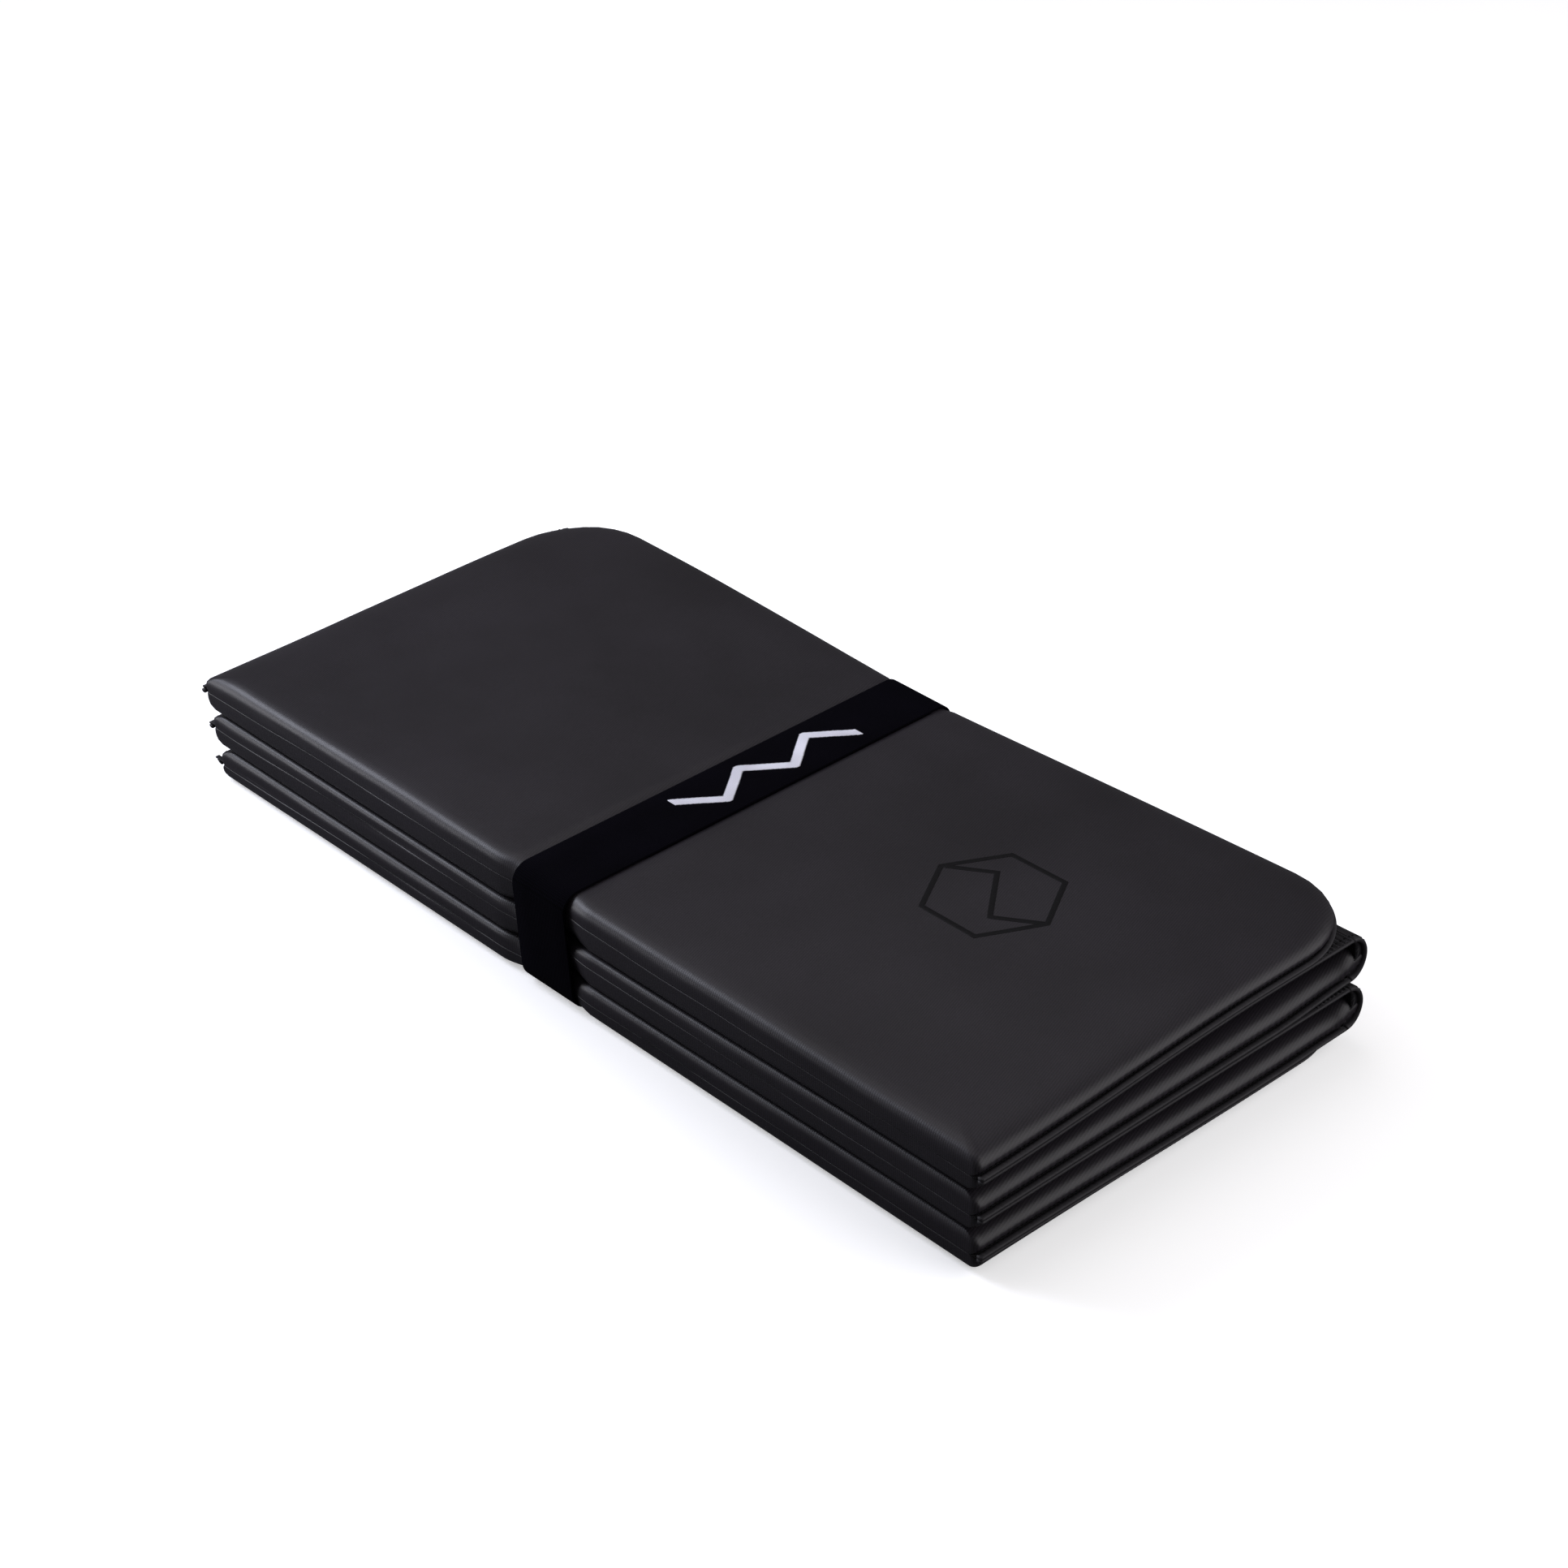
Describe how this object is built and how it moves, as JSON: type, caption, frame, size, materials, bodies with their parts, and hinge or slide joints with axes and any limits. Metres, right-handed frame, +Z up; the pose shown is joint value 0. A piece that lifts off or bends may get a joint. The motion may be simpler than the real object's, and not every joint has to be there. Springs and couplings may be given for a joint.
{
  "type": "folding gym mat",
  "caption": "Padded exercise mat folded into an accordion stack of flat panels and held by an elastic strap; unfolds to a long flat floor mat.",
  "frame": {"origin": "centre of the folded mat's bounding box in plan, on the floor", "axes": "+X along the 600 mm side, +Y towards the free edges and the open loops, +Z up"},
  "size_m": [0.6, 0.28, 0.0675],
  "materials": {
    "cover_leatherette": "matte",
    "base_cloth": "matte",
    "seam_binding": "matte",
    "foam": "matte",
    "strap_elastic": "matte",
    "woven_motif": "matte",
    "emblem_print": "satin"
  },
  "bodies": {
    "panel_6": {"panel_6_top_cover": "cover_leatherette", "panel_6_foam_core": "foam", "panel_6_base_cloth": "base_cloth", "panel_6_edge_seam": "seam_binding", "fold_5_6_crease_web": "base_cloth"},
    "panel_5": {"panel_5_top_cover": "cover_leatherette", "panel_5_foam_core": "foam", "panel_5_base_cloth": "base_cloth", "panel_5_left_edge_seam": "seam_binding", "panel_5_right_edge_seam": "seam_binding", "fold_4_5_loop_cloth": "base_cloth", "fold_4_5_loop_lining": "cover_leatherette"},
    "panel_4": {"panel_4_top_cover": "cover_leatherette", "panel_4_foam_core": "foam", "panel_4_base_cloth": "base_cloth", "panel_4_left_edge_seam": "seam_binding", "panel_4_right_edge_seam": "seam_binding", "fold_3_4_crease_web": "base_cloth"},
    "panel_3": {"panel_3_top_cover": "cover_leatherette", "panel_3_foam_core": "foam", "panel_3_base_cloth": "base_cloth", "panel_3_left_edge_seam": "seam_binding", "panel_3_right_edge_seam": "seam_binding", "fold_2_3_loop_cloth": "base_cloth", "fold_2_3_loop_lining": "cover_leatherette"},
    "panel_2": {"panel_2_top_cover": "cover_leatherette", "panel_2_foam_core": "foam", "panel_2_base_cloth": "base_cloth", "panel_2_left_edge_seam": "seam_binding", "panel_2_right_edge_seam": "seam_binding", "fold_1_2_crease_web": "base_cloth"},
    "panel_1": {"panel_1_top_cover": "cover_leatherette", "panel_1_foam_core": "foam", "panel_1_base_cloth": "base_cloth", "panel_1_edge_seam": "seam_binding", "panel_1_emblem": "emblem_print"},
    "strap": {"strap_band": "strap_elastic", "strap_sewn_join": "strap_elastic", "strap_woven_motif": "woven_motif"}
  },
  "joints": [
    {"name": "fold_5_6", "type": "hinge", "parent": "panel_6", "child": "panel_5", "pos_m": [0, -0.13855, 0.0111], "axis": [1, 0, 0], "range_deg": [0, 179.9], "deforming": ["fold_5_6_crease_web"]},
    {"name": "fold_4_5", "type": "hinge", "parent": "panel_5", "child": "panel_4", "pos_m": [0, 0.1268, 0.02235], "axis": [-1, 0, 0], "range_deg": [0, 179.9], "deforming": ["fold_4_5_loop_cloth", "fold_4_5_loop_lining"]},
    {"name": "fold_3_4", "type": "hinge", "parent": "panel_4", "child": "panel_3", "pos_m": [0, -0.13855, 0.0336], "axis": [1, 0, 0], "range_deg": [0, 179.9], "deforming": ["fold_3_4_crease_web"]},
    {"name": "fold_2_3", "type": "hinge", "parent": "panel_3", "child": "panel_2", "pos_m": [0, 0.1268, 0.04485], "axis": [-1, 0, 0], "range_deg": [0, 179.9], "deforming": ["fold_2_3_loop_cloth", "fold_2_3_loop_lining"]},
    {"name": "fold_1_2", "type": "hinge", "parent": "panel_2", "child": "panel_1", "pos_m": [0, -0.13855, 0.0561], "axis": [1, 0, 0], "range_deg": [0, 179.9], "deforming": ["fold_1_2_crease_web"]},
    {"name": "strap_slide", "type": "slide", "parent": "panel_6", "child": "strap", "axis": [1, 0, 0], "range_m": [0, 0.36], "deforming": ["strap_band", "strap_sewn_join", "strap_woven_motif"]}
  ],
  "couplings": [
    {"joint": "fold_4_5", "follows": "fold_5_6", "ratio": 1},
    {"joint": "fold_3_4", "follows": "fold_5_6", "ratio": 1},
    {"joint": "fold_2_3", "follows": "fold_5_6", "ratio": 1},
    {"joint": "fold_1_2", "follows": "fold_5_6", "ratio": 1},
    {"joint": "strap_slide", "follows": "fold_5_6", "m_per_rad": 0.1145}
  ]
}
